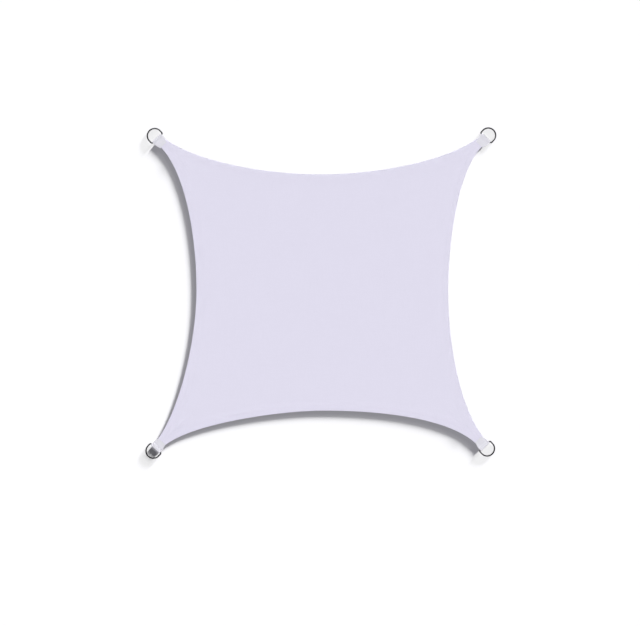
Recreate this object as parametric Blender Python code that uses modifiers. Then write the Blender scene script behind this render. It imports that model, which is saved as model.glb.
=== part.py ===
"""A shade sail with four hollow sides, laid out flat on the ground.

The cloth lies in the XY plane, its underside on z = 0, with +Y towards its upper side and +X towards
its right side. Its edge is a hem turned under twice. At each corner the cloth runs out into a narrow
neck, which is sewn between the two legs of a tab, and the tab is folded round the bar of a D-ring.
"""

import math
from collections import namedtuple

import bmesh
import bpy
from mathutils import Matrix, Vector

# Cloth
CLOTH = 0.0012  # one layer
HEM_HEIGHT = 0.0040  # three layers, pressed together
NECK_HEIGHT = 0.0022  # the hem where the tab's legs and sewing press it flat
HEM_WIDTH = 0.030
HEM_ROUND = 0.0025  # how far the turned edge is rounded
HEM_LIP = 0.001  # width of the step where the turned cloth ends underneath
HEM_SLOPE = 0.034  # behind the hem the cloth comes down to the ground over this width

PIECE_GAP = 0.0003
WELD = 0.00001  # points of the cloth nearer than this are one

# D-ring, measured at the middle of its wire
WIRE = 0.009
BOW_RADIUS = 0.044
BAR_BACK = 0.022  # from the middle of the bow back to the bar
RING_CORNER = 0.0075
BOW_STEPS = 22
RING_CORNER_STEPS = 4

# Tab: a strip folded round the bar, its lower leg on the ground
TAB = 0.0018
TAB_WIDTH = 0.073  # at the bar
TAB_END_WIDTH = 0.054
TAB_BACK = 0.077  # from the middle of the bow back to the ends of the legs
LOOP_STEPS = 10
LEG_STEPS = 5
LOOP_GAP = 0.0004  # round the bar, whose flats and the loop's don't line up
LOOP_RADIUS = WIRE / 2 + LOOP_GAP + TAB / 2
BAR_HEIGHT = LOOP_RADIUS + TAB / 2
NECK_LIFT = TAB + PIECE_GAP  # the neck lies on the tab's lower leg
UPPER_LEG = NECK_LIFT + NECK_HEIGHT + PIECE_GAP + TAB / 2

# The neck of the cloth
NECK_BACK = 0.040  # from the middle of the bow back to where the cloth ends
LIFT_FROM = 0.080  # the neck comes down to the ground between these distances behind the ring
LIFT_TO = 0.200
CROWN_POWER = 1.5  # how late the crown rises on the way from the edge to the diagonal
STATIONS = 19  # across each diagonal, from the neck to the middle of the sail
STATION_POWER = 1.6  # the stations lie closer together near the neck
CURVE_SAMPLES = 600

# Each corner: the middle of the bow, the ways the tab and the neck point, the neck's width at its end,
# the handle of the curves that leave it, and the height and reach of the crown in its tight cloth.
Corner = namedtuple("Corner", "name x y tab_deg neck_deg width handle crown reach")
CORNERS = (
    Corner("upper_left", -0.996, 0.943, 133, 140, 0.053, 0.215, 0.0040, 0.60),
    Corner("upper_right", 1.004, 0.946, 46, 39, 0.053, 0.225, 0.0032, 0.52),
    Corner("lower_right", 0.997, -0.932, -47, -48, 0.058, 0.250, 0.0036, 0.66),
    Corner("lower_left", -1.004, -0.946, -133, -132, 0.053, 0.195, 0.0044, 0.56),
)
# Each side, from the corner of the same row to the next one: its waist, where it comes closest to
# the middle, and the length of the curve's handle there.
Side = namedtuple("Side", "waist_x waist_y handle")
SIDES = (
    Side(-0.001, 0.7125, 0.360),
    Side(0.764, 0.008, 0.280),
    Side(0.021, -0.7045, 0.280),
    Side(-0.746, 0.019, 0.335),
)
# Rows of the cloth's mesh, from its edge inwards: the inset, and the share of the half width that the
# row keeps to where the neck is narrow. Past them come rows at shares of the way to the diagonal.
ROUND_STEP = 0.3
SLOPE_STEPS = (0.33, 0.66)
Row = namedtuple("Row", "inset share")
ROWS = (
    Row(0.0, 0.0),
    Row(ROUND_STEP * HEM_ROUND, 0.03),
    Row(HEM_ROUND, 0.09),
    Row(HEM_WIDTH - HEM_LIP, 0.72),
    Row(HEM_WIDTH, 0.76),
    Row(HEM_WIDTH + SLOPE_STEPS[0] * HEM_SLOPE, 0.82),
    Row(HEM_WIDTH + SLOPE_STEPS[1] * HEM_SLOPE, 0.88),
    Row(HEM_WIDTH + HEM_SLOPE, 0.94),
)
INNER_SHARES = (0.45, 1.0)

LAVENDER = (0.745, 0.723, 0.855, 1.0)
STEEL = (0.42, 0.42, 0.43, 1.0)


def smooth(value):
    """0 below 0, 1 above 1, and a soft step between them."""
    value = min(max(value, 0.0), 1.0)
    return value * value * (3 - 2 * value)


def pointing(degrees):
    return Vector((math.cos(math.radians(degrees)), math.sin(math.radians(degrees))))


def left_of(direction):
    return Vector((-direction.y, direction.x))


# Outline of the cloth


def along(side_index):
    """The way a side runs at its waist, the corners being taken clockwise."""
    return pointing(-90 * (side_index % len(SIDES)))


def neck_middle(corner):
    """The middle of the end of the neck."""
    return Vector((corner.x, corner.y)) - pointing(corner.neck_deg) * NECK_BACK


def neck_point(corner, hand):
    """The end of one edge of the neck; hand is 1 for the left edge, looking out along the tab."""
    return neck_middle(corner) + left_of(pointing(corner.neck_deg)) * (hand * corner.width / 2)


def half_side(corner, side, hand, waist_way):
    """Sampled points and inward normals of the edge from a neck to the waist of a side."""
    start = neck_point(corner, hand)
    waist = Vector((side.waist_x, side.waist_y))
    cage = (
        start,
        start - pointing(corner.neck_deg) * corner.handle,
        waist + waist_way * side.handle,
        waist,
    )
    points = []
    normals = []
    for step in range(CURVE_SAMPLES + 1):
        t = step / CURVE_SAMPLES
        weights = ((1 - t) ** 3, 3 * (1 - t) ** 2 * t, 3 * (1 - t) * t**2, t**3)
        slopes = (-3 * (1 - t) ** 2, 3 * (1 - t) * (1 - 3 * t), 3 * t * (2 - 3 * t), 3 * t**2)
        points.append(sum((w * p for w, p in zip(weights, cage)), Vector((0, 0))))
        tangent = sum((w * p for w, p in zip(slopes, cage)), Vector((0, 0))).normalized()
        normals.append(left_of(tangent) * hand)
    return points, normals


# Heights of the cloth


def grown(back):
    """0 in the neck and 1 where the cloth has come down to the ground."""
    return smooth((back - LIFT_FROM) / (LIFT_TO - LIFT_FROM))


def top_height(inset, hem):
    if inset < HEM_ROUND:
        bulge = math.sqrt(1 - (1 - inset / HEM_ROUND) ** 2)
        return hem * (0.5 + 0.5 * bulge)
    return hem + (CLOTH - hem) * smooth((inset - HEM_WIDTH) / HEM_SLOPE)


def under_height(inset, hem):
    if inset < HEM_ROUND:
        return hem - top_height(inset, hem)
    lip = min(max((inset - HEM_WIDTH + HEM_LIP) / HEM_LIP, 0.0), 1.0)
    return lip * (top_height(inset, hem) - CLOTH)


def rise(corner, back, share):
    """What the tab and the pull of the corner add to the height; share is 1 on the diagonal."""
    faded = 1 - smooth((back - LIFT_FROM) / (corner.reach - LIFT_FROM))
    crown = corner.crown * grown(back) * faded * share**CROWN_POWER
    return NECK_LIFT * (1 - grown(back)) + crown


# The sail panel


def section(corner, edge, normal, spine, half_width, spine_inset):
    """Points from the edge to the diagonal, as pairs of the upper and the lower surface."""
    insets = [min(row.inset, row.share * half_width) for row in ROWS]
    last = edge + normal * insets[-1]
    flat = [(edge + normal * inset, inset) for inset in insets]
    for share in INNER_SHARES:
        flat.append((last.lerp(spine, share), insets[-1] + (spine_inset - insets[-1]) * share))
    pairs = []
    for point, inset in flat:
        back = (Vector((corner.x, corner.y)) - point).dot(pointing(corner.tab_deg))
        base = rise(corner, back, min(inset / spine_inset, 1.0))
        hem = NECK_HEIGHT + (HEM_HEIGHT - NECK_HEIGHT) * grown(back)
        upper = Vector((point.x, point.y, base + top_height(inset, hem)))
        lower = Vector((point.x, point.y, base + under_height(inset, hem)))
        pairs.append((upper, lower))
    return pairs


def corner_sections(corner, edges):
    """Sections across the cloth, from the neck to the waists, a list for each edge of the corner."""
    start = neck_middle(corner)
    found = [0] * len(edges)
    sections = [[] for _ in edges]
    for station in range(STATIONS + 1):
        spine = start.lerp(Vector((0, 0)), (station / STATIONS) ** STATION_POWER)
        for number, (points, _) in enumerate(edges):
            if station == STATIONS:
                found[number] = len(points) - 1
            elif station:
                ahead = range(found[number], len(points))
                found[number] = min(ahead, key=lambda index: (points[index] - spine).length)
        widths = [(edge[0][index] - spine).length for edge, index in zip(edges, found)]
        middle = sum(widths) / len(widths)
        for number, (points, normals) in enumerate(edges):
            foot = found[number]
            sections[number].append(
                section(corner, points[foot], normals[foot], spine, widths[number], middle)
            )
    return sections


def add_face(bm, *points):
    bm.faces.new([bm.verts.new(point) for point in points])


def add_half_corner(bm, sections):
    for near, far in zip(sections, sections[1:]):
        for row in range(len(near) - 1):
            for layer in (0, 1):
                add_face(
                    bm,
                    near[row][layer],
                    near[row + 1][layer],
                    far[row + 1][layer],
                    far[row][layer],
                )
    neck_end = sections[0]
    add_face(bm, neck_end[1][0], neck_end[0][0], neck_end[1][1])
    for inner, outer in zip(neck_end[2:], neck_end[1:]):
        add_face(bm, outer[0], outer[1], inner[1], inner[0])


def sail_panel(material):
    bm = bmesh.new()
    for index, corner in enumerate(CORNERS):
        before = index - 1
        edges = (
            half_side(corner, SIDES[index], -1, -along(index)),
            half_side(corner, SIDES[before], 1, along(before)),
        )
        for sections in corner_sections(corner, edges):
            add_half_corner(bm, sections)
    bmesh.ops.remove_doubles(bm, verts=bm.verts, dist=WELD)
    bmesh.ops.recalc_face_normals(bm, faces=bm.faces)
    mesh = bpy.data.meshes.new("sail_panel")
    bm.to_mesh(mesh)
    bm.free()
    return add_object("sail_panel", mesh, material)


# Rings and tabs, in a frame of their own: +X out along the tab, +Y along the bar, +Z up


def corner_matrix(corner):
    turn = Matrix.Rotation(math.radians(corner.tab_deg), 4, "Z")
    return Matrix.Translation((corner.x, corner.y, 0)) @ turn


def ring_height(x):
    """The ring leans from its bar, inside the tab, down to the ground at the end of its bow."""
    share = (x + BAR_BACK) / (BAR_BACK + BOW_RADIUS)
    return BAR_HEIGHT + (WIRE / 2 - BAR_HEIGHT) * share


def ring_outline():
    """The middle of the wire: a half circle, two short legs and a bar with rounded ends."""
    outline = []
    for step in range(BOW_STEPS + 1):
        angle = math.pi * (step / BOW_STEPS - 0.5)
        outline.append((BOW_RADIUS * math.cos(angle), BOW_RADIUS * math.sin(angle)))
    for hand in (1, -1):
        turns = []
        for step in range(RING_CORNER_STEPS + 1):
            angle = math.pi / 2 * step / RING_CORNER_STEPS
            turns.append(
                (
                    -BAR_BACK + RING_CORNER * (1 - math.sin(angle)),
                    hand * (BOW_RADIUS - RING_CORNER * (1 - math.cos(angle))),
                )
            )
        outline += turns if hand == 1 else turns[::-1]
    return outline


def ring(corner, material):
    curve = bpy.data.curves.new(f"ring_{corner.name}", "CURVE")
    curve.dimensions = "3D"
    curve.bevel_depth = WIRE / 2
    curve.bevel_resolution = 2
    outline = ring_outline()
    spline = curve.splines.new("POLY")
    spline.points.add(len(outline) - 1)
    for point, (x, y) in zip(spline.points, outline):
        point.co = (x, y, ring_height(x), 1)
    spline.use_cyclic_u = True
    obj = add_object(curve.name, curve, material)
    obj.matrix_world = corner_matrix(corner)
    return obj


def tab_profile():
    """The middle of the strip, seen along the bar, from the end of one leg to the other."""
    profile = [(-TAB_BACK, TAB / 2), (-NECK_BACK, TAB / 2)]
    for step in range(LOOP_STEPS + 1):
        angle = math.pi * (step / LOOP_STEPS - 0.5)
        x = -BAR_BACK + LOOP_RADIUS * math.cos(angle)
        profile.append((x, BAR_HEIGHT + LOOP_RADIUS * math.sin(angle)))
    loop_top = BAR_HEIGHT + LOOP_RADIUS
    for step in range(1, LEG_STEPS + 1):
        share = step / LEG_STEPS
        x = -BAR_BACK - (NECK_BACK - BAR_BACK) * share
        profile.append((x, loop_top + (UPPER_LEG - loop_top) * smooth(share)))
    profile.append((-TAB_BACK, UPPER_LEG))
    return profile


def tab_width(x):
    """The strip is as wide as the bar as far as the neck, and tapers behind it."""
    share = max(0.0, (-x - NECK_BACK) / (TAB_BACK - NECK_BACK))
    return TAB_WIDTH + (TAB_END_WIDTH - TAB_WIDTH) * share


def tab(corner, material):
    """The strip as an open surface, thickened to the strip's own thickness."""
    name = f"tab_{corner.name}"
    bm = bmesh.new()
    rows = [
        [bm.verts.new((x, hand * tab_width(x) / 2, z)) for hand in (-1, 1)]
        for x, z in tab_profile()
    ]
    for (a, b), (c, d) in zip(rows, rows[1:]):
        bm.faces.new((a, b, d, c))
    mesh = bpy.data.meshes.new(name)
    bm.to_mesh(mesh)
    bm.free()
    obj = add_object(name, mesh, material)
    obj.matrix_world = corner_matrix(corner)
    shell = obj.modifiers.new("strip", "SOLIDIFY")
    shell.thickness = TAB
    shell.offset = 0
    shell.use_even_offset = True
    return obj


# Scene


def clear_scene():
    for obj in list(bpy.data.objects):
        bpy.data.objects.remove(obj, do_unlink=True)


def finish(name, colour, roughness, metallic):
    material = bpy.data.materials.new(name)
    material.use_nodes = True
    shader = material.node_tree.nodes["Principled BSDF"]
    shader.inputs["Base Color"].default_value = colour
    shader.inputs["Roughness"].default_value = roughness
    shader.inputs["Metallic"].default_value = metallic
    return material


def add_object(name, data, material):
    obj = bpy.data.objects.new(name, data)
    data.materials.append(material)
    bpy.data.collections["shade_sail"].objects.link(obj)
    return obj


def main():
    clear_scene()
    parts = bpy.data.collections.new("shade_sail")
    bpy.context.scene.collection.children.link(parts)
    cloth = finish("lavender_shade_cloth", LAVENDER, 0.9, 0.0)
    sail_panel(cloth)
    for corner in CORNERS:
        tab(corner, finish(f"lavender_strip_{corner.name}", LAVENDER, 0.85, 0.0))
        ring(corner, finish(f"steel_{corner.name}", STEEL, 0.3, 1.0))


main()
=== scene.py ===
"""The looks of a lavender shade sail that lies flat on a pale floor, seen from straight above.

Metres, +Z up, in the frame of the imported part. The outline of the cloth, the tabs and the rings are
worked out from the same driving sizes as the part's solids.
"""

import math
from collections import namedtuple

import bmesh
import bpy
import numpy as np
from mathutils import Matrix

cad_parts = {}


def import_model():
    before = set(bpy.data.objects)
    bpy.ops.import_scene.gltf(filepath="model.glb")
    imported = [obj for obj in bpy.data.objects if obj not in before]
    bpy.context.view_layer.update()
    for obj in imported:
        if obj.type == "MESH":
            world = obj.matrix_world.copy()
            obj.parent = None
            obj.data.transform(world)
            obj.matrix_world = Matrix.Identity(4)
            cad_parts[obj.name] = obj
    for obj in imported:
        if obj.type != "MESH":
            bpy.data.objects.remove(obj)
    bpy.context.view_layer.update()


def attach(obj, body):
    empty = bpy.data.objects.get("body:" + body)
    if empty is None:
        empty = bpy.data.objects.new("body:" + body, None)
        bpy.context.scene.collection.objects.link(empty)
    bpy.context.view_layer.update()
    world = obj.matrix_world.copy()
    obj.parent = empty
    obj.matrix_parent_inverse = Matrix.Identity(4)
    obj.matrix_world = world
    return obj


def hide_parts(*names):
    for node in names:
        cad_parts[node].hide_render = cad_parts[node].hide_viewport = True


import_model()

# Cloth, hem and neck, as in the part
CLOTH = 0.0012
HEM_HEIGHT = 0.0040
NECK_HEIGHT = 0.0022
HEM_WIDTH = 0.030
HEM_ROUND = 0.0025
HEM_LIP = 0.0012
HEM_SLOPE = 0.034
TAB = 0.0018
PIECE_GAP = 0.0003
NECK_LIFT = TAB + PIECE_GAP
NECK_BACK = 0.040
LIFT_FROM = 0.080
LIFT_TO = 0.200
CROWN_POWER = 1.5

# D-ring and the strip folded round its bar, as in the part
WIRE = 0.009
BOW_RADIUS = 0.044
BAR_BACK = 0.022
BAR_GAP = 0.0004
RING_CORNER = 0.0075
TAB_WIDTH = 0.073
TAB_END_WIDTH = 0.054
TAB_BACK = 0.077
LOOP_RADIUS = WIRE / 2 + BAR_GAP + TAB / 2
BAR_HEIGHT = LOOP_RADIUS + TAB / 2
UPPER_LEG = NECK_LIFT + NECK_HEIGHT + PIECE_GAP + TAB / 2

# Corners, as in the part: the middle of each ring's bow, the ways in which the tab and the neck
# point, the neck's width, the handle of the edges' curves there, and the height and reach of the
# crown behind it
Corner = namedtuple("Corner", "name x y tab_deg neck_deg width handle crown reach")
CORNERS = (
    Corner("upper_left", -0.996, 0.943, 133, 140, 0.053, 0.215, 0.0040, 0.60),
    Corner("upper_right", 1.004, 0.946, 46, 39, 0.053, 0.225, 0.0032, 0.52),
    Corner("lower_right", 0.997, -0.932, -47, -48, 0.058, 0.250, 0.0036, 0.66),
    Corner("lower_left", -1.004, -0.946, -133, -132, 0.053, 0.195, 0.0044, 0.56),
)
# Sides, each from the corner of the same place in the list to the next one, as in the part, with
# the phase of their puckers and ripples
Side = namedtuple("Side", "waist_x waist_y handle phase")
SIDES = (
    Side(-0.001, 0.7125, 0.360, 0.0),
    Side(0.764, 0.008, 0.280, 1.9),
    Side(0.021, -0.7045, 0.280, 3.4),
    Side(-0.746, 0.019, 0.335, 5.1),
)

# Mesh of the cloth, along each half side
CURVE_SAMPLES = 4000
COARSE_STATIONS = 60
COARSE_POWER = 1.3  # the coarse stations lie closer together near the neck
STATIONS = 124  # about 8 mm apart
NECK_INSIDE = 0.008  # the cloth runs on by this much inside the fold of the tab, past the part's

# Its rows, from the edge inwards, as insets and then as shares of what is left
EDGE_ROWS = (0.0, 0.0002, 0.0006, 0.0013, 0.0025)
HEM_ROWS = (0.0032, 0.0040, 0.0048, 0.0075, 0.0120, 0.0170, 0.0220, 0.0252, 0.0262, 0.0270, 0.0278)
LIP_ROWS = (HEM_WIDTH - HEM_LIP, HEM_WIDTH - 0.5 * HEM_LIP, HEM_WIDTH)
SLOPE_ROWS = (0.033, 0.037, 0.042, 0.048, 0.056, 0.064)
INSETS = np.array(EDGE_ROWS + HEM_ROWS + LIP_ROWS + SLOPE_ROWS)
INNER_SHARES = (0.05, 0.12, 0.22, 0.34, 0.48, 0.64, 0.81, 1.0)
SHARED_WIDTH = 0.10  # up to this half width, both edges of a corner fall away alike
FREE_SHARE = 0.6  # rows keep their inset up to this share of the half width, then crowd together
MERGE_DISTANCE = 0.00001

# Mesh of the strips, by the steps along their path and the points across a face
LOWER_LEG_STEPS = 39
LOOP_STEPS = 24
SLOPE_STEPS = 15
UPPER_LEG_STEPS = 27
STRIP_COLUMNS = 15
STRIP_EDGE_TURNS = (-60, -30, 0, 30, 60)  # degrees round each edge

# Mesh of the rings
BOW_STEPS = 72
RING_CORNER_STEPS = 12
RING_LEG_STEPS = 7
BAR_STEPS = 12
WIRE_SIDES = 24

# Sewing
SEAM_INSETS = (0.004, 0.027)
SEAM_DIP = 0.00045
SEAM_DIP_WIDTH = 0.0013
SEAM_START = 0.045 + NECK_INSIDE  # the hem's seams start inside the tab
SEAM_ROOM = 0.8  # and stay within this share of the half width
STITCH_PITCH = 0.0043
STITCH_LENGTH = 0.0034
THREAD = 0.00045
THREAD_TIP = -0.4  # height of a stitch's tips, in thicknesses of its thread
THREAD_RINGS = ((-0.7, 0.8, 0.1), (0.0, 1.0, 0.35), (0.7, 0.8, 0.1))  # place, size and height
THREAD_TURNS = (0, 90, 180, 270)
BOX_FROM_NECK = 0.004  # margins of the box sewn in a tab: from the end of the neck,
BOX_FROM_END = 0.005  # from the end of the strip,
BOX_FROM_SIDES = 0.006  # and from its sides,
BOX_FROM_END_SIDES = 0.005  # where it is broad and where it is narrow
THREAD_SUNK = 0.00015  # how deep the box's stitches lie in the upper leg
THREAD_UNDER = 0.0004  # and how high above the ground in the lower one

# Unevenness of the cloth. The pitch of puckers and ripples drifts: by so many waves, over so long.
PUCKER = 0.00035
PUCKER_PITCH = 0.029
PUCKER_DRIFT = (0.6, 0.21)
PUCKER_FADE = 0.028
RIPPLE = 0.0012
RIPPLE_PITCH = 0.27
RIPPLE_DRIFT = (0.3, 0.83)
RIPPLE_RISE = 0.05
RIPPLE_FADE = 0.16
INWARD_POWER = 1.5  # how soon both die out towards the diagonal
FAN = 0.0009
FAN_START = 0.06  # how far from the neck the ridges begin,
FAN_RISE = 0.12  # over how long they rise,
FAN_FALL_FROM = 0.10  # and from where to where they die out
FAN_REACH = 0.62
FAN_INSET = 0.020  # the ridges begin this far inside the edge
FAN_FADE = 0.050
FAN_RIDGES = ((-0.21, 0.050), (-0.06, 0.035), (0.10, 0.045), (0.24, 0.055))  # angle, spread

# Unevenness of the strips and the rings
STRIP_WAVE = 0.00012
STRIP_WAVE_PITCH = 0.011
STRIP_WAVE_SKEW = 1.7  # waves from the middle to a side
STRIP_INSET = 0.0001  # the strips are thinner than the part's by this much on each face
WELD_AT = -0.009  # along the leg, from the middle of the bow
WELD_BULGE = 0.05  # in shares of the wire's radius
WELD_WIDTH = 0.0016

# Colours and the sizes of the finishes
LAVENDER = (0.745, 0.723, 0.838, 1.0)
THREAD_COLOUR = (0.72, 0.70, 0.835, 1.0)
STRIP_COLOUR = (0.765, 0.758, 0.806, 1.0)
STEEL_COLOUR = (0.20, 0.20, 0.206, 1.0)
FLOOR_COLOUR = (0.5, 0.5, 0.5, 1.0)
CLOTH_WEAVE = 0.0011
CLOTH_RELIEF = 0.00012
CREASE_RELIEF = 0.0004
STRIP_WEAVE = 0.0016
STRIP_RELIEF = 0.00022
FIBRE_RELIEF = 0.00008
BRUSHED_RELIEF = 0.00003
WEAVE_MEAN = 0.6  # mean height of the threads' crowns,
WEAVE_SWING = 0.4  # and how far they pass over and under it
# The strip's slope down from its fold lies in shade; its colour there is painted lighter, as light.
FOLD_AT = 0.081  # painted light where the strip comes down from its fold, so far along its length,
FOLD_PAINTED_LIGHT = 0.060  # by so much,
FOLD_PAINTED_LIGHT_REACH = (0.005, 0.014)  # in full up to the first distance, and not at all past the second

# Floor and camera. The photograph is 640 wide, at 6.0 mm for each of its pixels.
FLOOR_HALF = 14.0
VIEW_WIDTH = 3.84
CAMERA_AT = (-0.005, -0.119, 6.0)
SENSOR_WIDTH = 36.0

# Light
SHADE = 0.235  # light from all round, which also reaches the floor in the sail's shadow
SHADE_COLOUR = (0.995, 0.985, 1.08, 1.0)
WHITE = (1.0, 1.0, 1.0)
MIRRORED_WALLS = (0.30, 0.45)  # in mirrors the studio has pale walls up to this height,
MIRRORED_CEILING = (0.70, 0.05)  # and it is dark from this height on: height, strength
LIGHT_AZIMUTH = 51.3  # the shadow falls to the lower left
# Suns that light the floor: share is how much of its white they give
FloorLight = namedtuple("FloorLight", "name elevation share softness colour blockers")
FLOOR_LIGHTS = (
    FloorLight("low_light", 3.4, 0.690, 2.8, WHITE, ("sail_",)),
    FloorLight("strip_light", 7.0, 0.060, 6.0, WHITE, ("sail_", "strip_")),
    FloorLight("ring_light", 7.0, 0.145, 3.5, SHADE_COLOUR[:3], ("steel_",)),
)
# Suns that light the cloth, the strips and the threads
ClothLight = namedtuple("ClothLight", "name azimuth elevation energy softness")
CLOTH_LIGHTS = (
    ClothLight("key", LIGHT_AZIMUTH, 62, 1.425, 40),
    ClothLight("fill", LIGHT_AZIMUTH + 150, 64, 1.14, 60),
)
# Flat lamps that light the rings
Softbox = namedtuple("Softbox", "name azimuth elevation distance width height radiance")
SOFTBOXES = (
    Softbox("softbox_back", 112, 34, 3.2, 1.6, 0.55, 4.5),
    Softbox("softbox_front", 262, 30, 3.4, 2.0, 0.45, 3.8),
    Softbox("softbox_side", 6, 26, 3.6, 0.7, 0.5, 4.5),
)


# Plain maths


def smooth(value):
    """From 0 to 1 with a level start and end."""
    value = np.clip(value, 0.0, 1.0)
    return value * value * (3 - 2 * value)


def bump_at(value, middle, width):
    return np.exp(-(((value - middle) / width) ** 2))


def pointing(degrees):
    return np.array((math.cos(math.radians(degrees)), math.sin(math.radians(degrees))))


def left_of(directions):
    """The directions turned by 90 degrees to the left."""
    return np.stack((-directions[..., 1], directions[..., 0]), -1)


# Edges of the cloth. Each is a half side, from a neck to a waist, with what lies inwards of it.

# hand: 1 for the edge on the left of its neck, seen from the cloth, and -1 for the one on the right
# away: place along the side, counted from its waist
# foot: points of the edge; normal: the way inwards from them
# spine: where this edge's half of the cloth ends, on the line from the neck to the sail's middle
# width: from foot to spine
Edge = namedtuple("Edge", "corner side hand away foot normal spine width")


def along(side_index):
    """The way in which a side runs, clockwise round the sail."""
    return pointing(-90 * (side_index % len(SIDES)))


def neck_middle(corner):
    """The middle of the part's neck, where it ends inside the tab."""
    return np.array((corner.x, corner.y)) - pointing(corner.neck_deg) * NECK_BACK


def half_side(corner, side, hand, waist_way):
    """Sampled points and inward normals of the edge from a neck to a waist."""
    out = pointing(corner.neck_deg)
    start = neck_middle(corner) + left_of(out) * (hand * corner.width / 2)
    waist = np.array((side.waist_x, side.waist_y))
    cage = np.array((start, start - out * corner.handle, waist + waist_way * side.handle, waist))
    t = np.linspace(0, 1, CURVE_SAMPLES + 1)
    weights = np.stack(((1 - t) ** 3, 3 * (1 - t) ** 2 * t, 3 * (1 - t) * t**2, t**3), -1)
    slopes = np.stack(
        (-3 * (1 - t) ** 2, 3 * (1 - t) * (1 - 3 * t), 3 * t * (2 - 3 * t), 3 * t**2), -1
    )
    tangents = slopes @ cage
    tangents /= np.linalg.norm(tangents, axis=1)[:, None]
    return weights @ cage, left_of(tangents) * hand


def read_along(at, length, values):
    """Rows of x and y that are known at some lengths, read at others."""
    return np.stack([np.interp(at, length, column) for column in values.T], -1)


def make_edges(corner_index):
    """Both edges of a corner, with stations evenly spaced along each."""
    corner = CORNERS[corner_index]
    before = corner_index - 1
    choices = (
        (SIDES[corner_index], -1, -along(corner_index)),
        (SIDES[before], 1, along(before)),
    )
    start = neck_middle(corner)
    coarse = np.linspace(0, 1, COARSE_STATIONS) ** COARSE_POWER
    coarse_spine = start * (1 - coarse[:, None])
    lines = []
    for side, hand, waist_way in choices:
        points, normals = half_side(corner, side, hand, waist_way)
        steps = np.linalg.norm(np.diff(points, axis=0), axis=1)
        length = np.concatenate(((0,), np.cumsum(steps)))
        distance = np.linalg.norm(points[None] - coarse_spine[:, None], axis=2)
        nearest = np.maximum.accumulate(distance.argmin(axis=1))
        nearest[0] = 0
        nearest[-1] = len(points) - 1
        lines.append((points, normals, length, length[nearest]))
    progress = sum(at / length[-1] for _, _, length, at in lines) / len(lines)
    reach = np.interp(np.linspace(0, 1, STATIONS + 1), progress, coarse)
    spine = start * (1 - reach[:, None])
    ahead = pointing(corner.neck_deg) * NECK_INSIDE
    edges = []
    for (side, hand, _), (points, normals, length, at) in zip(choices, lines):
        station = np.interp(reach, coarse, at)
        foot = read_along(station, length, points)
        normal = read_along(station, length, normals)
        width = np.linalg.norm(foot - spine, axis=1)
        away = (station - length[-1]) * -hand
        # One more station, inside the fold of the tab
        foot = np.concatenate((foot[:1] + ahead, foot))
        normal = np.concatenate((normal[:1], normal))
        middle = np.concatenate((spine[:1] + ahead, spine))
        width = np.concatenate((width[:1], width))
        away = np.concatenate((away[:1] + hand * NECK_INSIDE, away))
        edges.append(Edge(corner, side, hand, away, foot, normal, middle, width))
    return edges


# Heights


def distance_back(corner, x, y):
    """How far behind the middle of its ring a place is, along the tab."""
    out = pointing(corner.tab_deg)
    return (corner.x - x) * out[0] + (corner.y - y) * out[1]


def grown(back):
    """0 in the neck and 1 where the cloth has come down to the ground."""
    return smooth((back - LIFT_FROM) / (LIFT_TO - LIFT_FROM))


def dips(inset):
    """How deep the seams of the hem are sunk."""
    return SEAM_DIP * sum(bump_at(inset, seam, SEAM_DIP_WIDTH) for seam in SEAM_INSETS)


def rounded(inset):
    """0 at the very edge of the hem and 1 where it has its full thickness."""
    return np.sqrt(1 - np.clip(1 - inset / HEM_ROUND, 0.0, 1.0) ** 2)


def fall(inset, hem):
    """What the thickness changes by from the hem into the open cloth."""
    return (CLOTH - hem) * smooth((inset - HEM_WIDTH) / HEM_SLOPE)


def top_height(inset, hem):
    """Height of the upper face over where the cloth lies."""
    return hem * (0.5 + 0.5 * rounded(inset)) + fall(inset, hem) - dips(inset)


def under_height(inset, hem):
    """The same for the lower face, which has the step where the turned cloth ends."""
    edge = hem * (0.5 - 0.5 * rounded(inset))
    lip = smooth((inset - HEM_WIDTH + HEM_LIP) / HEM_LIP)
    return edge + dips(inset) * (1 - lip) + lip * (hem - CLOTH + fall(inset, hem))


def rise(corner, back, share):
    """What the tab and the pull of the corner add to the height."""
    faded = 1 - smooth((back - LIFT_FROM) / (corner.reach - LIFT_FROM))
    crown = corner.crown * grown(back) * faded * share**CROWN_POWER
    return NECK_LIFT * (1 - grown(back)) + crown


def fan(corner, x, y):
    """Low ridges that spread out from a neck, where the corner pulls on the cloth."""
    start = neck_middle(corner)
    far = np.hypot(start[0] - x, start[1] - y)
    turn = np.arctan2(start[1] - y, start[0] - x) - math.radians(corner.neck_deg)
    turn = (turn + math.pi) % (2 * math.pi) - math.pi
    faded = 1 - smooth((far - FAN_FALL_FROM) / (FAN_REACH - FAN_FALL_FROM))
    reach = smooth((far - FAN_START) / FAN_RISE) * faded
    return FAN * reach * sum(bump_at(turn, angle, spread) for angle, spread in FAN_RIDGES)


def drifting(away, pitch, drift):
    """Waves counted along a side, with a pitch that drifts."""
    waves, length = drift
    return away / pitch + waves * np.sin(2 * math.pi * away / length)


def crests(waves, phase):
    """1 on the crest of each wave and 0 in its trough."""
    return 0.5 + 0.5 * np.sin(2 * math.pi * waves + phase)


def ripples(edge, away, inset, share):
    """Small puckers along the hem, and longer ripples that die out in the open cloth."""
    phase = edge.side.phase
    inside = np.maximum(inset - HEM_WIDTH, 0)
    near_hem = smooth(inset / HEM_WIDTH) * np.exp(-inside / PUCKER_FADE)
    pucker = PUCKER * near_hem * crests(drifting(away, PUCKER_PITCH, PUCKER_DRIFT), phase)
    swell = RIPPLE * smooth((inset - HEM_WIDTH) / RIPPLE_RISE) * np.exp(-inset / RIPPLE_FADE)
    swell = swell * crests(drifting(away, RIPPLE_PITCH, RIPPLE_DRIFT), 2 * phase)
    return (pucker + swell) * np.clip(1 - share, 0, 1) ** INWARD_POWER


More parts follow.
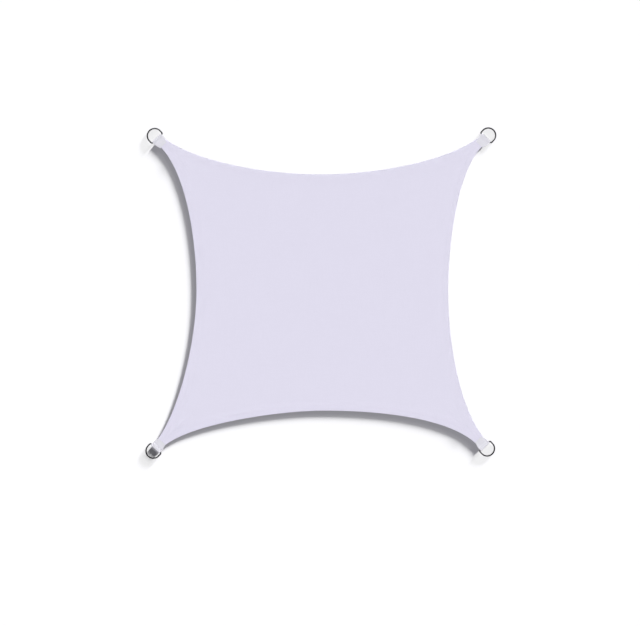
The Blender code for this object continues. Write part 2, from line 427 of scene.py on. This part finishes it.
def settle(inset, width):
    """Insets that keep clear of the diagonal where the cloth is narrow."""
    ratio = inset / width
    spare = 1 - FREE_SHARE
    crowded = FREE_SHARE + spare * (1 - np.exp(-(ratio - FREE_SHARE) / spare))
    return width * np.where(ratio > FREE_SHARE, crowded, ratio)


def surfaces(edge, away, foot, normal, width, inset):
    """Points of the upper and the lower face of the cloth at an inset."""
    point = foot + normal * inset[..., None]
    share = np.clip(inset / width, 0, 1)
    x, y = point[..., 0], point[..., 1]
    back = distance_back(edge.corner, x, y)
    hem = NECK_HEIGHT + (HEM_HEIGHT - NECK_HEIGHT) * grown(back)
    base = rise(edge.corner, back, share) + ripples(edge, away, inset, share)
    base = base + fan(edge.corner, x, y) * smooth((inset - FAN_INSET) / FAN_FADE)
    upper = np.stack((x, y, base + top_height(inset, hem)), -1)
    lower = np.stack((x, y, base + under_height(inset, hem)), -1)
    return upper, lower


# Meshes


def mesh_object(name, points, faces, material, uv=None, smooth_angle=50, merged=False):
    """An object from arrays of points and faces."""
    mesh = bpy.data.meshes.new(name)
    mesh.from_pydata(points.tolist(), [], [tuple(face) for face in faces])
    if merged:
        work = bmesh.new()
        work.from_mesh(mesh)
        bmesh.ops.remove_doubles(work, verts=work.verts, dist=MERGE_DISTANCE)
        work.to_mesh(mesh)
        work.free()
    if uv is not None:
        layer = mesh.uv_layers.new(name="metres")
        corners = np.concatenate([np.asarray(face) for face in faces])
        layer.data.foreach_set("uv", uv[corners].astype(np.float32).ravel())
    mesh.materials.append(material)
    mesh.shade_smooth()
    mesh.set_sharp_from_angle(angle=math.radians(smooth_angle))
    obj = bpy.data.objects.new(name, mesh)
    bpy.context.scene.collection.objects.link(obj)
    return obj


def grid_faces(rows, columns, first=0, flipped=False):
    a = first + np.arange(rows - 1)[:, None] * columns + np.arange(columns - 1)
    quads = np.stack((a, a + 1, a + columns + 1, a + columns), -1).reshape(-1, 4)
    return quads[:, ::-1] if flipped else quads


def sail_mesh(all_edges, material):
    """The cloth: upper and lower sheets from each edge to the diagonal, closed in the neck."""
    points = []
    faces = []
    count = 0
    rows = len(INSETS) + len(INNER_SHARES)
    for edges in all_edges:
        mean = (edges[0].width + edges[1].width) / 2
        own = smooth((mean - SHARED_WIDTH) / SHARED_WIDTH)
        for edge in edges:
            width = edge.width[:, None]
            middle = mean + (edge.width - mean) * own
            inset = settle(INSETS[None, :], width)
            foot = np.repeat(edge.foot[:, None], len(INSETS), axis=1)
            normal = np.repeat(edge.normal[:, None], len(INSETS), axis=1)
            away = edge.away[:, None]
            sheets = list(surfaces(edge, away, foot, normal, width, inset))
            last = foot[:, -1] + normal[:, -1] * inset[:, -1:]
            for share in INNER_SHARES:
                place = last * (1 - share) + edge.spine * share
                far = inset[:, -1] + (middle - inset[:, -1]) * share
                zero = np.zeros_like(place)
                pair = surfaces(edge, edge.away, place, zero, middle, far)
                sheets = [
                    np.concatenate((sheet, new[:, None]), axis=1)
                    for sheet, new in zip(sheets, pair)
                ]
            sheets[1][:, 0] = sheets[0][:, 0]
            for layer, sheet in enumerate(sheets):
                flipped = (edge.hand == 1) == (layer == 0)
                faces.append(grid_faces(len(sheet), rows, count, flipped))
                points.append(sheet.reshape(-1, 3))
                count += len(sheet) * rows
            lower = count - len(edge.foot) * rows + np.arange(rows - 1)
            upper = lower - len(edge.foot) * rows
            wall = np.stack((upper, upper + 1, lower + 1, lower), -1)
            faces.append(wall if edge.hand == 1 else wall[:, ::-1])
    points = np.concatenate(points)
    faces = np.concatenate(faces)
    return mesh_object("sail_cloth", points, faces, material, smooth_angle=60, merged=True)


def thread_template():
    """A stitch lying along X: three rings of four points and two tips."""
    half = STITCH_LENGTH / 2
    points = [(-half, 0, THREAD_TIP * THREAD)]
    for place, size, height in THREAD_RINGS:
        for angle in THREAD_TURNS:
            y, z = pointing(angle) * THREAD / 2 * size
            points.append((place * half, y, z + height * THREAD))
    points.append((half, 0, THREAD_TIP * THREAD))
    sides = len(THREAD_TURNS)
    first, second, third = (1 + sides * ring for ring in range(len(THREAD_RINGS)))
    tip = len(points) - 1
    faces = []
    for side in range(sides):
        after = (side + 1) % sides
        faces.append((0, first + after, first + side))
        for ring in (first, second):
            faces.append((ring + side, ring + after, ring + sides + after))
            faces.append((ring + side, ring + sides + after, ring + sides + side))
        faces.append((third + side, third + after, tip))
    return np.array(points), np.array(faces)


def stitches(name, middles, directions, normals, material):
    """One mesh of stitches, each lying at its middle, along its direction, on its face."""
    shape, faces = thread_template()
    across = np.cross(normals, directions)
    frames = np.stack((directions, across, normals), 1)
    points = middles[:, None] + np.einsum("pk,nkj->npj", shape, frames)
    shifts = np.arange(len(middles))[:, None, None] * len(shape)
    all_faces = (faces[None] + shifts).reshape(-1, 3)
    return mesh_object(name, points.reshape(-1, 3), all_faces, material, smooth_angle=80)


def hem_stitches(all_edges, material):
    """Two seams right round the hem, on both faces."""
    found = {"hem_thread_upper": [], "hem_thread_lower": []}
    for edges in all_edges:
        for edge in edges:
            station = np.abs(edge.away[0] - edge.away)
            for seam in SEAM_INSETS:
                run = station[-1] - SEAM_START
                count = int(run / STITCH_PITCH)
                middles = SEAM_START + run * (np.arange(count) + 0.5) / count
                ends = []
                for shift in (-0.5, 0.5):
                    at = middles + shift * STITCH_LENGTH
                    away = np.interp(at, station, edge.away)
                    width = np.interp(at, station, edge.width)
                    foot = read_along(at, station, edge.foot)
                    normal = read_along(at, station, edge.normal)
                    inset = np.minimum(seam, SEAM_ROOM * width)
                    ends.append(surfaces(edge, away, foot, normal, width, inset))
                for layer, name in enumerate(found):
                    found[name].append((ends[0][layer], ends[1][layer]))
    made = []
    for name, pairs in found.items():
        starts = np.concatenate([pair[0] for pair in pairs])
        ends = np.concatenate([pair[1] for pair in pairs])
        directions = ends - starts
        directions /= np.linalg.norm(directions, axis=1)[:, None]
        normals = np.zeros_like(directions)
        normals[:, 2] = 1 if name.endswith("upper") else -1
        normals -= directions * np.sum(directions * normals, axis=1)[:, None]
        normals /= np.linalg.norm(normals, axis=1)[:, None]
        middles = (starts + ends) / 2
        made.append(stitches(name, middles, directions, normals, material))
    return made


# Tabs and rings, in a frame of their own: +X out along the tab, +Y along the bar, +Z up


def placed(corner, points):
    """Points of a tab's own frame, in the frame of the part."""
    out = pointing(corner.tab_deg)
    side = left_of(out)
    plan = np.array((corner.x, corner.y)) + points[..., :1] * out + points[..., 1:2] * side
    return np.concatenate((plan, points[..., 2:]), -1)


def turned(corner, directions):
    """Directions of a tab's own frame, in the frame of the part."""
    out = pointing(corner.tab_deg)
    plan = directions[..., :1] * out + directions[..., 1:2] * left_of(out)
    return np.concatenate((plan, directions[..., 2:]), -1)


def swept(path, normals, sides, sections, closed):
    """Points of sections that follow a path; sections hold (along the normal, along the side)."""
    points = (
        path[:, None]
        + normals[:, None] * sections[..., :1]
        + sides[:, None] * sections[..., 1:]
    )
    rows, columns = points.shape[:2]
    steps = np.arange(rows if closed else rows - 1)
    a = steps[:, None] * columns + np.arange(columns)
    b = steps[:, None] * columns + (np.arange(columns) + 1) % columns
    ahead = ((steps + 1) % rows)[:, None] * columns
    c = ahead + (np.arange(columns) + 1) % columns
    d = ahead + np.arange(columns)
    return points.reshape(-1, 3), np.stack((a, b, c, d), -1).reshape(-1, 4)


def tab_path():
    """The middle of the strip, seen along the bar, every millimetre or so."""
    lower_x = np.linspace(-TAB_BACK, -BAR_BACK, LOWER_LEG_STEPS + 1)[:-1]
    lower = [(x, TAB / 2) for x in lower_x]
    loop = [
        (-BAR_BACK + LOOP_RADIUS * math.cos(a), BAR_HEIGHT + LOOP_RADIUS * math.sin(a))
        for a in np.linspace(-math.pi / 2, math.pi / 2, LOOP_STEPS + 1)
    ]
    top = BAR_HEIGHT + LOOP_RADIUS
    slope = []
    for share in np.linspace(0, 1, SLOPE_STEPS + 1)[1:]:
        x = -BAR_BACK - (NECK_BACK - BAR_BACK) * share
        slope.append((x, top + (UPPER_LEG - top) * float(smooth(share))))
    upper_x = np.linspace(-NECK_BACK, -TAB_BACK, UPPER_LEG_STEPS + 1)[1:]
    upper = [(x, UPPER_LEG) for x in upper_x]
    return np.array(lower + loop + slope + upper)


def tab_width(x):
    """Full width from the bar to the neck, narrower from there to the end."""
    share = np.clip((-x - NECK_BACK) / (TAB_BACK - NECK_BACK), 0, 1)
    return TAB_WIDTH + (TAB_END_WIDTH - TAB_WIDTH) * share


def tab_mesh(corner, material):
    """The strip: a flat section with round edges, swept along its folded path."""
    path = tab_path()
    steps = np.linalg.norm(np.diff(path, axis=0), axis=1)
    length = np.concatenate(((0,), np.cumsum(steps)))
    tangent = np.gradient(path, length, axis=0)
    tangent /= np.linalg.norm(tangent, axis=1)[:, None]
    centre = np.stack((path[:, 0], np.zeros(len(path)), path[:, 1]), -1)
    normal = np.stack((tangent[:, 1], np.zeros(len(path)), -tangent[:, 0]), -1)
    side = np.tile((0.0, 1.0, 0.0), (len(path), 1))
    half = tab_width(path[:, 0]) / 2
    thin = TAB / 2 - STRIP_INSET
    turn = np.radians(STRIP_EDGE_TURNS)
    places = np.linspace(-1, 1, STRIP_COLUMNS)
    sections = []
    across = []
    for ring_half, along_strip in zip(half, length):
        body = ring_half - TAB / 2
        waves = along_strip / STRIP_WAVE_PITCH + places * STRIP_WAVE_SKEW
        wave = STRIP_WAVE * np.sin(2 * math.pi * waves)
        lower = [(-thin + w, y) for y, w in zip(places * body, wave)]
        upper = [(thin + w, y) for y, w in zip(places[::-1] * body, wave[::-1])]
        right = [(thin * math.sin(a), body + thin * math.cos(a)) for a in turn]
        left = [(-thin * math.sin(a), -body - thin * math.cos(a)) for a in turn]
        section = np.array(lower + right + upper + left)
        sections.append(section)
        across.append(section[:, 1])
    points, faces = swept(centre, normal, side, np.array(sections), closed=False)
    columns = len(sections[0])
    uv = np.stack((np.repeat(length, columns), np.concatenate(across)), -1)
    caps = [tuple(range(columns)), tuple(range(len(points) - columns, len(points)))[::-1]]
    faces = [tuple(face)[::-1] for face in faces] + caps
    name = f"strip_{corner.name}"
    strip = mesh_object(name, placed(corner, points), faces, material, uv, smooth_angle=40)
    return strip, length[-1]


def tab_stitches(corner, material):
    """A sewn box with a cross in it, through both legs."""
    front = -NECK_BACK - BOX_FROM_NECK
    rear = -TAB_BACK + BOX_FROM_END
    front_half = float(tab_width(front)) / 2 - BOX_FROM_SIDES
    rear_half = float(tab_width(rear)) / 2 - BOX_FROM_END_SIDES
    a, b = np.array((front, -front_half)), np.array((front, front_half))
    c, d = np.array((rear, rear_half)), np.array((rear, -rear_half))
    seams = ((a, b), (b, c), (c, d), (d, a), (a, c), (b, d))
    faces = ((UPPER_LEG + TAB / 2 - THREAD_SUNK, 1), (THREAD_UNDER, -1))
    middles = []
    directions = []
    normals = []
    for height, up in faces:
        for start, end in seams:
            way = end - start
            run = np.linalg.norm(way)
            count = int(run / STITCH_PITCH)
            for step in range(count):
                middle = start + way * ((step + 0.5) / count)
                middles.append((*middle, height))
                directions.append((*(way / run), 0.0))
                normals.append((0.0, 0.0, float(up)))
    return stitches(
        f"tab_thread_{corner.name}",
        placed(corner, np.array(middles)),
        turned(corner, np.array(directions)),
        np.array(normals),
        material,
    )


def ring_path():
    """The middle of the wire, bow first, seen from above."""
    bow_turns = np.linspace(-1, 1, BOW_STEPS + 1) * math.pi / 2
    bow = [(BOW_RADIUS * math.cos(a), BOW_RADIUS * math.sin(a)) for a in bow_turns]
    leg_x = np.linspace(0, -BAR_BACK + RING_CORNER, RING_LEG_STEPS + 1)[1:-1]
    leg = [(x, BOW_RADIUS) for x in leg_x]
    bend = [
        (
            -BAR_BACK + RING_CORNER * (1 - math.sin(a)),
            BOW_RADIUS - RING_CORNER * (1 - math.cos(a)),
        )
        for a in np.linspace(0, math.pi / 2, RING_CORNER_STEPS + 1)
    ]
    bar_y = np.linspace(1, -1, BAR_STEPS + 1)[1:-1] * (BOW_RADIUS - RING_CORNER)
    bar = [(-BAR_BACK, y) for y in bar_y]
    second_bend = [(x, -y) for x, y in bend[::-1]]
    second_leg = [(x, -y) for x, y in leg[::-1]]
    return np.array(bow + leg + bend + bar + second_bend + second_leg)


def ring_mesh(corner, material):
    """The wire, with the low bead of its weld on one leg."""
    plan = ring_path()
    share = (plan[:, 0] + BAR_BACK) / (BAR_BACK + BOW_RADIUS)
    path = np.column_stack((plan, BAR_HEIGHT + (WIRE / 2 - BAR_HEIGHT) * share))
    ahead = np.roll(path, -1, axis=0) - np.roll(path, 1, axis=0)
    tangent = ahead / np.linalg.norm(ahead, axis=1)[:, None]
    up = np.array((0.0, 0.0, 1.0)) - tangent * tangent[:, 2:]
    up /= np.linalg.norm(up, axis=1)[:, None]
    side = np.cross(tangent, up)
    steps = np.linalg.norm(np.roll(path, -1, axis=0) - path, axis=1)
    length = np.concatenate(((0,), np.cumsum(steps)[:-1]))
    from_weld = np.linalg.norm(plan - np.array((WELD_AT, BOW_RADIUS)), axis=1)
    radius = WIRE / 2 * (1 + WELD_BULGE * bump_at(from_weld, 0.0, WELD_WIDTH))
    angles = np.linspace(0, 2 * math.pi, WIRE_SIDES, endpoint=False)
    circle = np.stack((np.cos(angles), np.sin(angles)), -1)
    sections = radius[:, None, None] * circle[None]
    points, faces = swept(path, up, side, sections, closed=True)
    points[:, 2] = np.maximum(points[:, 2], 0.0)
    uv = np.stack(
        (np.repeat(length, len(angles)), np.tile(angles * WIRE / 2, len(path))), -1
    )
    name = f"steel_ring_{corner.name}"
    return mesh_object(name, placed(corner, points), faces, material, uv, smooth_angle=80)


# Materials


class Finish:
    """A Principled material and short ways to add nodes to it."""

    def __init__(self, name, settings):
        self.material = bpy.data.materials.new(name)
        self.material.use_nodes = True
        self.tree = self.material.node_tree
        self.shader = self.tree.nodes["Principled BSDF"]
        for socket, value in settings.items():
            self.shader.inputs[socket].default_value = value

    def link(self, source, target):
        self.tree.links.new(source, target)

    def place(self, uv=False):
        node = self.tree.nodes.new("ShaderNodeTexCoord")
        return node.outputs["UV" if uv else "Object"]

    def split(self, vector):
        node = self.tree.nodes.new("ShaderNodeSeparateXYZ")
        self.link(vector, node.inputs[0])
        return node.outputs[0], node.outputs[1]

    def maths(self, operation, *values):
        node = self.tree.nodes.new("ShaderNodeMath")
        node.operation = operation
        for socket, value in zip(node.inputs, values):
            if isinstance(value, bpy.types.NodeSocket):
                self.link(value, socket)
            else:
                socket.default_value = value
        return node.outputs[0]

    def scaled(self, value, by, plus):
        return self.maths("MULTIPLY_ADD", value, by, plus)

    def stretched(self, vector, scale):
        node = self.tree.nodes.new("ShaderNodeMapping")
        self.link(vector, node.inputs["Vector"])
        node.inputs["Scale"].default_value = scale
        return node.outputs[0]

    def noise(self, vector, scale, detail=2.0, roughness=0.5):
        node = self.tree.nodes.new("ShaderNodeTexNoise")
        self.link(vector, node.inputs["Vector"])
        node.inputs["Scale"].default_value = scale
        node.inputs["Detail"].default_value = detail
        node.inputs["Roughness"].default_value = roughness
        return node.outputs["Fac"]

    def ranged(self, value, low, high, from_low=0.0, from_high=1.0):
        node = self.tree.nodes.new("ShaderNodeMapRange")
        self.link(value, node.inputs["Value"])
        node.inputs["From Min"].default_value = from_low
        node.inputs["From Max"].default_value = from_high
        node.inputs["To Min"].default_value = low
        node.inputs["To Max"].default_value = high
        return node.outputs[0]

    def bump(self, height, distance, strength=1.0, below=None):
        node = self.tree.nodes.new("ShaderNodeBump")
        node.inputs["Strength"].default_value = strength
        node.inputs["Distance"].default_value = distance
        self.link(height, node.inputs["Height"])
        if below is not None:
            self.link(below, node.inputs["Normal"])
        return node.outputs[0]

    def shade_by(self, factor):
        """Multiply the base colour that was set by a factor that varies about 1."""
        target = self.shader.inputs["Base Color"]
        node = self.tree.nodes.new("ShaderNodeVectorMath")
        node.operation = "SCALE"
        node.inputs[0].default_value = target.default_value[:3]
        self.link(factor, node.inputs["Scale"])
        self.link(node.outputs[0], target)

    def roughen(self, socket):
        self.link(socket, self.shader.inputs["Roughness"])

    def carve(self, socket):
        self.link(socket, self.shader.inputs["Normal"])


def woven(finish, x, y, pitch):
    """Height of a plain weave: warp and weft threads that pass over each other by turns."""
    u = finish.maths("DIVIDE", x, pitch)
    v = finish.maths("DIVIDE", y, pitch)
    heights = []
    for own, other, swing in ((u, v, WEAVE_SWING), (v, u, -WEAVE_SWING)):
        half_turns = finish.maths("MULTIPLY", own, math.pi)
        crown = finish.maths("ABSOLUTE", finish.maths("SINE", half_turns))
        turn = finish.maths("ADD", other, finish.maths("FLOOR", own))
        wave = finish.maths("COSINE", finish.maths("MULTIPLY", turn, math.pi))
        lift = finish.scaled(wave, by=swing, plus=WEAVE_MEAN)
        heights.append(finish.maths("MULTIPLY", crown, lift))
    return finish.maths("MAXIMUM", *heights)


def cloth_finish():
    """A fine weave of uneven threads, with painted shade between them, faintly creased and clouded.
    """
    settings = {
        "Base Color": LAVENDER,
        "Sheen Weight": 0.08,
        "Sheen Roughness": 0.5,
        "Specular IOR Level": 0.25,
    }
    finish = Finish("lavender_cloth", settings)
    place = finish.place()
    x, y = finish.split(place)
    slub_x = finish.noise(finish.stretched(place, (1, 0.04, 1)), scale=420, detail=1.0)
    slub_y = finish.noise(finish.stretched(place, (0.04, 1, 1)), scale=420, detail=1.0)
    weave = woven(finish, x, y, CLOTH_WEAVE)
    slubs = finish.maths("ADD", slub_x, slub_y)
    height = finish.scaled(slubs, by=0.35, plus=weave)
    clouds = finish.noise(place, scale=6.0, detail=3.0)
    # Painted shade: the colour is darker where the weave is low, between and under the threads.
    tone_and_weave_shade = finish.scaled(weave, by=0.06, plus=0.98)
    tone_and_weave_shade = finish.scaled(slubs, by=0.03, plus=tone_and_weave_shade)
    tone_and_weave_shade = finish.scaled(clouds, by=0.012, plus=tone_and_weave_shade)
    finish.shade_by(tone_and_weave_shade)
    finish.roughen(finish.ranged(weave, low=0.9, high=0.76))
    creases = finish.noise(place, scale=38.0, detail=4.0, roughness=0.55)
    soft = finish.bump(creases, CREASE_RELIEF, strength=0.35)
    finish.carve(finish.bump(height, CLOTH_RELIEF, strength=0.6, below=soft))
    return finish.material


def strip_finish():
    """A coarser weave with a grain, with painted shade between its threads and painted light below
    the fold.
    """
    settings = {
        "Base Color": STRIP_COLOUR,
        "Roughness": 0.75,
        "Sheen Weight": 0.08,
        "Specular IOR Level": 0.3,
    }
    finish = Finish("lavender_strip", settings)
    place = finish.place(uv=True)
    x, y = finish.split(place)
    ribs = woven(finish, x, y, STRIP_WEAVE)
    grain = finish.noise(place, scale=900)
    # Painted shade: darker where the weave is low, between and under the threads, with grain at
    # random.
    tone_and_weave_shade = finish.scaled(ribs, by=0.16, plus=0.90)
    tone_and_weave_shade = finish.scaled(grain, by=0.05, plus=tone_and_weave_shade)
    # Painted light: lighter on the slope below the fold, which the lamps leave in shade.
    from_fold = finish.maths("ABSOLUTE", finish.maths("SUBTRACT", x, FOLD_AT))
    near, far = FOLD_PAINTED_LIGHT_REACH
    painted_light = finish.ranged(from_fold, low=FOLD_PAINTED_LIGHT, high=0.0, from_low=near, from_high=far)
    finish.shade_by(finish.maths("ADD", tone_and_weave_shade, painted_light))
    height = finish.scaled(grain, by=0.25, plus=ribs)
    finish.carve(finish.bump(height, STRIP_RELIEF, strength=0.8))
    return finish.material


def thread_finish():
    """Spun thread, with paler and darker fibres."""
    finish = Finish("lavender_thread", {"Base Color": THREAD_COLOUR, "Roughness": 0.55})
    fibres = finish.noise(finish.place(), scale=2600)
    finish.shade_by(finish.ranged(fibres, low=0.9, high=1.08))
    finish.carve(finish.bump(fibres, FIBRE_RELIEF, strength=0.6))
    return finish.material


def steel_finish():
    """Polished steel, lightly brushed along the wire, with faint blotches."""
    finish = Finish("ring_steel", {"Base Color": STEEL_COLOUR, "Metallic": 1.0})
    along_wire = finish.stretched(finish.place(uv=True), (60, 2400, 1))
    brushed = finish.noise(along_wire, scale=1.0, detail=3.0, roughness=0.6)
    blotches = finish.noise(finish.place(), scale=90.0, detail=3.0)
    finish.shade_by(finish.ranged(blotches, low=0.86, high=1.12, from_low=0.3, from_high=0.7))
    rough = finish.scaled(brushed, by=0.10, plus=0.04)
    finish.roughen(finish.scaled(blotches, by=0.06, plus=rough))
    finish.carve(finish.bump(brushed, BRUSHED_RELIEF, strength=0.5))
    return finish.material


# Stage


def collected(name, objects):
    collection = bpy.data.collections.new(name)
    for obj in objects:
        collection.objects.link(obj)
    return collection


def floor():
    half = FLOOR_HALF
    points = np.array([(-half, -half, 0), (half, -half, 0), (half, half, 0), (-half, half, 0)])
    settings = {"Base Color": FLOOR_COLOUR, "Roughness": 0.9, "Specular IOR Level": 0.0}
    material = Finish("pale_floor", settings).material
    obj = mesh_object("pale_floor", points, [(0, 1, 2, 3)], material)
    return obj


def sun(name, azimuth, elevation, energy, softness, colour, receivers, blockers=None):
    """A distant lamp; azimuth is where the light comes from, from +X towards +Y."""
    lamp = bpy.data.lights.new(name, "SUN")
    lamp.energy = energy
    lamp.color = colour
    lamp.angle = math.radians(softness)
    obj = bpy.data.objects.new(name, lamp)
    obj.rotation_euler = (0, math.radians(90 - elevation), math.radians(azimuth))
    obj.light_linking.receiver_collection = receivers
    if blockers is not None:
        obj.light_linking.blocker_collection = blockers
    bpy.context.scene.collection.objects.link(obj)


def softbox(box, receivers):
    """A flat lamp that the steel mirrors as a bright, sharp-edged streak."""
    lamp = bpy.data.lights.new(box.name, "AREA")
    lamp.shape = "RECTANGLE"
    lamp.size = box.width
    lamp.size_y = box.height
    lamp.energy = box.radiance * math.pi * box.width * box.height
    obj = bpy.data.objects.new(box.name, lamp)
    turn = pointing(box.azimuth)
    lift = pointing(box.elevation)
    obj.location = (turn[0] * lift[0], turn[1] * lift[0], lift[1])
    obj.location *= box.distance
    obj.rotation_euler = obj.location.to_track_quat("Z", "Y").to_euler()
    obj.light_linking.receiver_collection = receivers
    bpy.context.scene.collection.objects.link(obj)


def world():
    """Shade from all round. Mirrors show pale walls and a dark ceiling; the camera sees white."""
    surroundings = bpy.data.worlds.new("studio")
    surroundings.use_nodes = True
    tree = surroundings.node_tree
    background = tree.nodes["Background"]
    background.inputs["Color"].default_value = SHADE_COLOUR
    direction = tree.nodes.new("ShaderNodeTexCoord")
    split = tree.nodes.new("ShaderNodeSeparateXYZ")
    tree.links.new(direction.outputs["Generated"], split.inputs[0])
    studio = tree.nodes.new("ShaderNodeMapRange")
    studio.interpolation_type = "SMOOTHSTEP"
    tree.links.new(split.outputs[2], studio.inputs["Value"])
    for end, (height, strength) in (("Min", MIRRORED_WALLS), ("Max", MIRRORED_CEILING)):
        studio.inputs[f"From {end}"].default_value = height
        studio.inputs[f"To {end}"].default_value = strength
    path = tree.nodes.new("ShaderNodeLightPath")
    mirrored = tree.nodes.new("ShaderNodeMapRange")
    tree.links.new(path.outputs["Is Glossy Ray"], mirrored.inputs["Value"])
    mirrored.inputs["To Min"].default_value = SHADE
    tree.links.new(studio.outputs[0], mirrored.inputs["To Max"])
    seen = tree.nodes.new("ShaderNodeMapRange")
    tree.links.new(path.outputs["Is Camera Ray"], seen.inputs["Value"])
    tree.links.new(mirrored.outputs[0], seen.inputs["To Min"])
    seen.inputs["To Max"].default_value = 1.0
    tree.links.new(seen.outputs[0], background.inputs["Strength"])
    bpy.context.scene.world = surroundings


def lights(pieces, ground):
    """Floor, cloth and steel each have lamps of their own, which light nothing else."""
    soft = [piece for piece in pieces if not piece.name.startswith("steel_")]
    steel = [piece for piece in pieces if piece.name.startswith("steel_")]
    on_soft = collected("lit_cloth", soft)
    on_steel = collected("lit_steel", steel)
    on_floor = collected("lit_floor", [ground])
    for light in FLOOR_LIGHTS:
        blockers = [piece for piece in pieces if piece.name.startswith(light.blockers)]
        shading = collected(f"shading_{light.name}", blockers)
        height = math.sin(math.radians(light.elevation))
        sun(
            light.name,
            LIGHT_AZIMUTH,
            light.elevation,
            light.share * math.pi / FLOOR_COLOUR[0] / height,
            light.softness,
            light.colour,
            on_floor,
            shading,
        )
    for light in CLOTH_LIGHTS:
        sun(*light, WHITE, on_soft)
    for box in SOFTBOXES:
        softbox(box, on_steel)


def camera():
    """Straight above the sail."""
    height = CAMERA_AT[2]
    data = bpy.data.cameras.new("camera")
    data.sensor_width = SENSOR_WIDTH
    data.lens = data.sensor_width * height / VIEW_WIDTH
    obj = bpy.data.objects.new("camera", data)
    obj.location = CAMERA_AT
    bpy.context.scene.collection.objects.link(obj)
    bpy.context.scene.camera = obj


# The whole


def main():
    cloth = cloth_finish()
    strip = strip_finish()
    thread = thread_finish()
    steel = steel_finish()
    all_edges = [make_edges(index) for index in range(len(CORNERS))]

    sail = sail_mesh(all_edges, cloth)
    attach(sail, "root")
    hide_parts("sail_panel")
    seams = hem_stitches(all_edges, thread)
    for seam in seams:
        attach(seam, "root")
    pieces = [sail, *seams]

    for corner in CORNERS:
        tab, length = tab_mesh(corner, strip)
        sewn = tab_stitches(corner, thread)
        ring = ring_mesh(corner, steel)
        for piece, slot in ((tab, "tab_strip"), (sewn, "tab_strip"), (ring, "ring_steel")):
            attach(piece, "root")
            pieces.append(piece)
        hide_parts(f"tab_{corner.name}")
        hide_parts(f"ring_{corner.name}")

    bpy.context.scene.view_settings.view_transform = "Standard"
    world()
    lights(pieces, floor())
    camera()


main()
